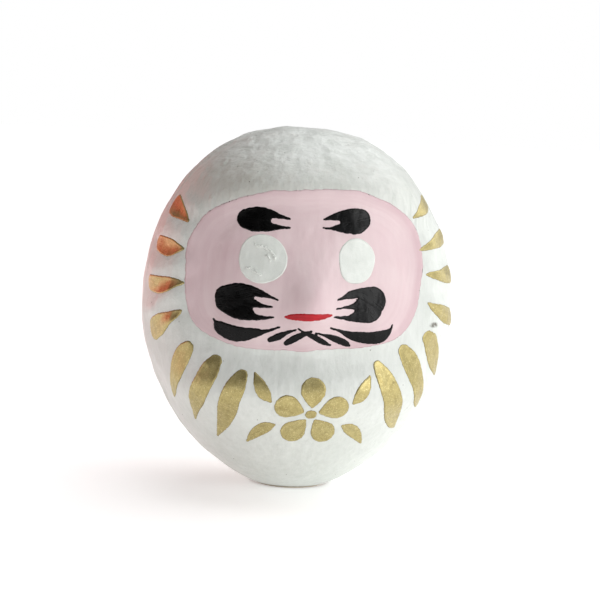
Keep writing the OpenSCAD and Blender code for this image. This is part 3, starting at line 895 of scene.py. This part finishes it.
# strokes on the face are chains of rounds: across, up, radius
faceStrokes = {
    "leftEyebrow": [
        [(-20.3, 90.7, 3.2), (-17.3, 90.9, 3.8), (-14.3, 92.6, 1.7), (-10.8, 92.1, 0.8),
         (-7.4, 91.4, 0.3)],
        [(-17.3, 90.9, 3.8), (-14.2, 88.9, 1.7), (-10.7, 88.7, 0.7), (-7.4, 88.7, 0.3)]],
    "rightEyebrow": [
        [(14.7, 91.9, 3.5), (12.6, 91.5, 4), (9.4, 92.9, 1.9), (6.2, 92.5, 1), (3.1, 91.7, 0.3)],
        [(12.6, 91.5, 4), (9.8, 89.5, 1.8), (7, 89.2, 0.9), (5.1, 89, 0.4), (3, 89.1, 0.3)]],
    "leftMoustache": [
        [(-25.8, 66.2, 3.7), (-22.3, 67.2, 3.7), (-18.4, 68.5, 1.8), (-15.4, 68, 1.1),
         (-12.8, 67.3, 0.5), (-10.5, 66.5, 0.3)],
        [(-25.9, 64.8, 3.5), (-22.2, 65, 3.1), (-18.3, 65, 1.5), (-15.3, 64.4, 0.7),
         (-12.1, 64.2, 0.3)],
        [(-25.9, 64.8, 3.5), (-22.2, 63.3, 3.6), (-18.2, 61.1, 1.4), (-15.1, 60.7, 0.7),
         (-11.6, 61.1, 0.3)]],
    "rightMoustache": [
        [(19.4, 66.8, 4.6), (16, 69.2, 1.8), (12.3, 68.8, 1.3), (10.3, 68.1, 0.7), (8, 67.3, 0.3)],
        [(18.2, 64.8, 4.7), (16.9, 66.3, 2.4), (13.7, 65.3, 1.1), (10.4, 64.9, 0.4),
         (7.7, 64.5, 0.3)],
        [(18.2, 64.8, 4.7), (16.2, 62.8, 2.6), (12.6, 61.7, 1.1), (10.2, 61.7, 0.6), (7.1, 62, 0.3)]],
    "leftWhisker": [
        [(-29.6, 59, 0.3), (-28.9, 58.1, 0.6), (-27.3, 56.5, 2), (-24, 55.3, 2.5),
         (-20.6, 55.2, 2.2), (-17.1, 55.9, 1.5), (-13.7, 56.6, 0.6), (-9.5, 58.2, 0.3)]],
    "rightWhisker": [
        [(6.1, 58.6, 0.3), (9.2, 57.6, 0.5), (12.5, 56.3, 1.2), (15.7, 55.7, 1.7), (19, 55.4, 1.9),
         (22.3, 55.7, 2), (24.6, 56.7, 1.3), (26, 58.1, 0.5), (26.5, 59.3, 0.3)]],
    "chinBeard": [
        [(-12.4, 54, 0.8), (-10.1, 55, 1.1), (-7.6, 56.4, 0.7), (-4.8, 57.6, 0.3)],
        [(-7.2, 53.3, 0.9), (-4.8, 54.9, 1.1), (-2.4, 56.3, 0.9), (0.1, 57.5, 0.3)],
        [(-4, 58.1, 0.3), (-1.8, 56.8, 0.4), (0.9, 55.7, 0.9), (3.3, 54.4, 0.9), (5.2, 53.5, 0.6),
         (6.4, 53.1, 0.3)],
        [(1.5, 57, 0.3), (3.8, 56.4, 0.4), (6.5, 55.6, 0.9), (8.9, 54.7, 1.1), (11.2, 53.7, 1),
         (12.7, 52.9, 0.3)]],
}
mouthStroke = [
    (-8, 61.5, 0.3), (-6.6, 61.6, 0.8), (-4.1, 61.8, 1.1), (-1.5, 61.9, 1.2), (0.5, 62, 1.1),
    (3.1, 62.2, 0.9), (4.9, 62.5, 0.6), (6.1, 62.6, 0.3)]
facePieces = {name: layMark(name, "black", [(0, StrokeField(chains))], lift=onPink)
              for name, chains in faceStrokes.items()}
facePieces["mouth"] = layMark("mouth", "red", [(0, StrokeField([mouthStroke]))], cell=0.18,
                              lift=onPink)
print("face painted")

# gold strokes run round the side: azimuth, up, radius
sideStrokes = {
    "leftShoulderStrokes": [
        [(-57.1, 88.5, 0.4), (-62.3, 90.6, 1.9), (-68, 92.1, 2.9), (-73, 93.2, 3.1)],
        [(-55.8, 79.8, 0.4), (-58.6, 79.7, 1.4), (-63.8, 79.6, 2.8), (-69, 79.9, 2.9),
         (-74.5, 80.4, 2.6)],
        [(-52.8, 69.1, 0.4), (-56.1, 68.9, 1.3), (-60.7, 68.1, 2.4), (-67, 67.4, 2.9),
         (-75, 67.4, 2.7)],
        [(-52.4, 60.3, 0.4), (-54.2, 59.3, 1.2), (-58.8, 57.3, 2.2), (-64.5, 55, 3.4),
         (-71, 52.6, 3.6)]],
    "rightShoulderStrokes": [
        [(50.2, 92.9, 0.4), (53.4, 93.9, 1), (58.8, 95.3, 1.7), (67, 96.8, 2.2), (72, 97.4, 2.2)],
        [(50.6, 82.6, 0.4), (54, 83.4, 1), (59.1, 84.5, 1.7), (66, 85.4, 2.4), (74, 86.2, 2.6)],
        [(52, 74.8, 0.4), (55, 74.6, 1.1), (60.5, 74.2, 1.9), (67, 74, 2.6), (75, 73.9, 2.9)],
        [(51.7, 65.6, 0.4), (54.1, 64.3, 1.2), (59, 62.8, 2.1), (66, 61, 2.8), (74, 59.8, 2.9)]],
    "leftChestStrokes": [
        [(-48.1, 48.9, 2.3), (-51.6, 45.6, 3.6), (-54.6, 41.6, 3.6), (-57.4, 38.2, 2.7),
         (-61, 34.6, 1.7), (-65, 31, 0.4)],
        [(-35.7, 45.7, 2.3), (-37.8, 42.2, 3.5), (-40.7, 37.8, 3.5), (-44.6, 34, 3.1),
         (-49.5, 29.6, 1.8), (-54.9, 24.6, 0.4)],
        [(-24.4, 42.2, 2.1), (-26.2, 38.8, 3.2), (-28.6, 35.2, 3.2), (-31.6, 31.2, 3),
         (-36.6, 26, 2.2), (-43.3, 19.8, 0.4)]],
    "rightChestStrokes": [
        [(27.5, 46.6, 1.6), (29, 43.6, 2.9), (31.2, 39.6, 3.5), (34.4, 35, 3.3), (39.8, 30.2, 2.7),
         (46, 26, 1.7), (50.5, 23.8, 0.4)],
        [(40.1, 50.5, 2.4), (42.8, 47.2, 3.6), (46, 43, 4), (49, 38.6, 3.5), (52.6, 34.7, 2.4),
         (57.5, 31, 0.4)],
        [(52, 54.3, 2.5), (56, 51.4, 3.8), (60.5, 47.4, 3.9), (65, 43.6, 2.2), (69.5, 40.7, 0.4)]],
}
laidOutRadius = 47.0      # body radius at which azimuths are laid out flat


def sideLayers(chains):
    layers = []
    for chain in chains:
        middle = (chain[0][0] + chain[-1][0]) / 2
        flat = [(laidOutRadius * math.sin(math.radians(a - middle)), z, r) for a, z, r in chain]
        layers.append((middle, StrokeField([flat])))
    return layers


sidePieces = {name: layMark(name, "gold", sideLayers(chains), thickness=0.16)
              for name, chains in sideStrokes.items()}

bloom = {
    "middle": (1.5, 31.0),
    "petals": 5,
    "petal": [(3.0, 0.6), (5.6, 2.4), (8.2, 3.9)],  # rounds: out from the middle, radius
    "button": 1.5,
    "leaf": [(13.1, 4.2, 0.5), (15.2, 6.6, 2.0), (16.6, 9.2, 1.8), (18, 12.4, 0.4)],
    "lowLeaf": [(11, -4.6, 0.5), (13.8, -6, 2.1), (16.4, -8.4, 1.7), (18.4, -11.6, 0.4)],
}


def bloomChains(b):
    chains = []
    for k in range(b["petals"]):
        turn = math.radians(360 * k / b["petals"])
        out = (-math.sin(turn), math.cos(turn))
        chains.append([(out[0] * d, out[1] * d, r) for d, r in b["petal"]])
    chains.append([(-0.3, 0, b["button"]), (0.3, 0, b["button"])])
    for side in (1, -1):
        for leaf in (b["leaf"], b["lowLeaf"]):
            chains.append([(side * x, z, r) for x, z, r in leaf])
    return [[(b["middle"][0] + x, b["middle"][1] + z, r) for x, z, r in chain] for chain in chains]


bellyMotif = layMark("bellyMotif", "gold", [(0, StrokeField(bloomChains(bloom)))], thickness=0.16)
print("gold laid")

bpy.data.objects.remove(fineSkin)


discShape = {
    "radius": (discBox[1].x - discBox[0].x) / 2,
    "thickness": discBox[1].z,
    "softEdge": 0.00012,
    "wander": 0.004,          # share of the radius by which the scissors strayed
    "points": 180,
    "rings": 14,
}


def makeDisc(s):
    # a disc cut by hand from paper, with a soft edge
    bm = bmesh.new()
    loops = []
    outline = [(s["radius"] * k / s["rings"], 0.0) for k in range(1, s["rings"])]
    outline += [(s["radius"] - s["softEdge"], 0.0), (s["radius"], s["softEdge"]),
                (s["radius"], s["thickness"] - s["softEdge"]),
                (s["radius"] - s["softEdge"], s["thickness"])]
    for r, z in outline:
        loop = []
        for k in range(s["points"]):
            a = 2 * math.pi * k / s["points"]
            wander = 1 + math.sin(5 * a) + 0.5 * math.sin(13 * a + 1)
            cut = 1 - s["wander"] * wander * (r / s["radius"]) ** 8
            loop.append(bm.verts.new((r * cut * math.sin(a), -r * cut * math.cos(a), z)))
        loops.append(loop)
    for low, high in zip(loops, loops[1:]):
        for k in range(s["points"]):
            n = (k + 1) % s["points"]
            bm.faces.new((low[k], low[n], high[n], high[k]))
    bm.faces.new(loops[0][::-1])
    bm.faces.new(loops[-1])
    bmesh.ops.recalc_face_normals(bm, faces=bm.faces)
    mesh = bpy.data.meshes.new("paperDisc")
    bm.to_mesh(mesh)
    bm.free()
    mesh.materials.append(paints["discPaper"])
    piece = bpy.data.objects.new("paperDisc", mesh)
    scene.collection.objects.link(piece)
    return piece


paperDisc = makeDisc(discShape)


made = {**wallPieces, **facePieces, **sidePieces}
claims = [
    (whiteCoat, "white_paint", "white_coat"),
    (made["frontShell"], "moulded_paper", "front_shell"),
    (made["backShell"], "moulded_paper", "back_shell"),
    (made["leftSeamStrip"], "seam_paper", "left_seam_strip"),
    (made["rightSeamStrip"], "seam_paper", "right_seam_strip"),
    (pinkFace, "pink_paint", "face_coat"),
    (leftEye, "eye_paint", "left_eye_white"),
    (rightEye, "eye_paint", "right_eye_white"),
    (made["leftEyebrow"], "black_paint", "left_eyebrow"),
    (made["rightEyebrow"], "black_paint", "right_eyebrow"),
    (made["leftMoustache"], "black_paint", "left_moustache"),
    (made["rightMoustache"], "black_paint", "right_moustache"),
    (made["leftWhisker"], "black_paint", "left_whisker"),
    (made["rightWhisker"], "black_paint", "right_whisker"),
    (made["chinBeard"], "black_paint", "chin_beard"),
    (made["mouth"], "red_paint", "mouth"),
    (made["leftShoulderStrokes"], "gold_paint", "left_shoulder_strokes"),
    (made["rightShoulderStrokes"], "gold_paint", "right_shoulder_strokes"),
    (made["leftChestStrokes"], "gold_paint", "left_chest_strokes"),
    (made["rightChestStrokes"], "gold_paint", "right_chest_strokes"),
    (bellyMotif, "gold_paint", "belly_motif"),
    (paperDisc, "base_paper", "base_disc"),
]
for piece, slot, node in claims:
    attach(piece, "root")
    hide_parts(node)

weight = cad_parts["base_weight"].data
weight.materials.clear()
weight.materials.append(paints["bareClay"])
print("pieces claimed")


stage = {
    "floorSize": 40.0,
    "floorTone": tone(243, 243, 242),
    "floorRoughness": 0.9,
    "floorGlow": 0.36,        # lifts the floor to a clean white
    "skyTone": (1.0, 1.0, 1.0, 1.0),
    # the room around: dim in front and on the left, bright above and on the right
    "dimTone": tone(72, 68, 68),
    "brightTone": tone(206, 208, 210),
    "towards": (0.85, 0.1, 0.5),  # the way it brightens
    "rise": (-0.5, 0.9),
}
dollMiddle = (0.0, 0.0, 0.06)


def makeStage(s):
    bpy.ops.mesh.primitive_plane_add(size=s["floorSize"])
    floor = bpy.context.object
    floor.name = "floor"
    material, tree = newMaterial("paleFloor")
    shader = tree.nodes["Principled BSDF"]
    shader.inputs["Base Color"].default_value = s["floorTone"]
    shader.inputs["Roughness"].default_value = s["floorRoughness"]
    shader.inputs["Emission Color"].default_value = s["skyTone"]
    shader.inputs["Emission Strength"].default_value = s["floorGlow"]
    floor.data.materials.append(material)
    world = bpy.data.worlds.new("studio")
    world.use_nodes = True
    tree = world.node_tree
    way = Wire(tree, tree.nodes.new("ShaderNodeTexCoord").outputs["Generated"])
    bright = sum(part * weight for part, weight in zip(splitAxes(way), s["towards"]))
    room = blend(tree, bright.ramp(*s["rise"]), s["dimTone"], s["brightTone"])
    seen = Wire(tree, tree.nodes.new("ShaderNodeLightPath").outputs["Is Camera Ray"])
    room = blend(tree, seen, room, s["skyTone"])
    connect(tree, room, tree.nodes["Background"].inputs["Color"])
    scene.world = world


lamps = {
    # place to shine from, width and height, power, colour
    "windowLight": ((0.48, -0.44, 0.22), (0.26, 0.36), 1.15, (1.0, 1.0, 1.0)),
    "lowLight": ((-0.46, 0.4, 0.06), (0.8, 0.5), 1.1, (1.0, 0.05, 0.03)),
    "rightGlow": ((0.5, 0.22, 0.2), (0.25, 0.3), 0.35, (1.0, 1.0, 0.96)),
}
skylight = {
    "strength": 1.5,
    "spread": 80.0,       # degrees across the soft source overhead
    "place": (0.4, 0.3, 1.0),
}


def aimAtDoll(lamp, place):
    lamp.location = place
    aim = Vector(dollMiddle) - lamp.location
    lamp.rotation_euler = aim.to_track_quat("-Z", "Y").to_euler()
    scene.collection.objects.link(lamp)


def makeLamp(name, place, size, power, colour):
    light = bpy.data.lights.new(name, "AREA")
    light.shape = "RECTANGLE"
    light.size, light.size_y = size
    light.energy = power
    light.color = colour
    aimAtDoll(bpy.data.objects.new(name, light), place)


def makeSkylight(s):
    light = bpy.data.lights.new("skylight", "SUN")
    light.energy = s["strength"]
    light.angle = math.radians(s["spread"])
    aimAtDoll(bpy.data.objects.new("skylight", light), s["place"])


cameraPose = {
    "azimuth": -6.0,
    "elevation": 6.0,
    "distance": 0.55,
    "lens": 97.7,
    "roll": 2.7,              # degrees, so that the doll leans a little to the right
    "aimRight": 0.00125,      # how far the view is centred right of and above the doll's middle
    "aimUp": 0.0019,
}


def makeCamera(c):
    a, e, roll = (math.radians(c[key]) for key in ("azimuth", "elevation", "roll"))
    back = Vector((math.sin(a) * math.cos(e), -math.cos(a) * math.cos(e), math.sin(e)))
    right = (-back).cross(Vector((0, 0, 1))).normalized()
    up = right.cross(-back)
    right, up = (right * math.cos(roll) + up * math.sin(roll),
                 up * math.cos(roll) - right * math.sin(roll))
    place = Vector(dollMiddle) + right * c["aimRight"] + up * c["aimUp"] + back * c["distance"]
    data = bpy.data.cameras.new("camera")
    data.lens = c["lens"]
    data.sensor_width = 36.0
    data.clip_start = 0.01
    camera = bpy.data.objects.new("camera", data)
    turn = Matrix((right, up, back)).transposed().to_4x4()
    camera.matrix_world = Matrix.Translation(place) @ turn
    scene.collection.objects.link(camera)
    scene.camera = camera


makeStage(stage)
for name, (place, size, power, colour) in lamps.items():
    makeLamp(name, place, size, power, colour)
makeSkylight(skylight)
makeCamera(cameraPose)
scene.view_settings.view_transform = "Standard"
print("stage lit")
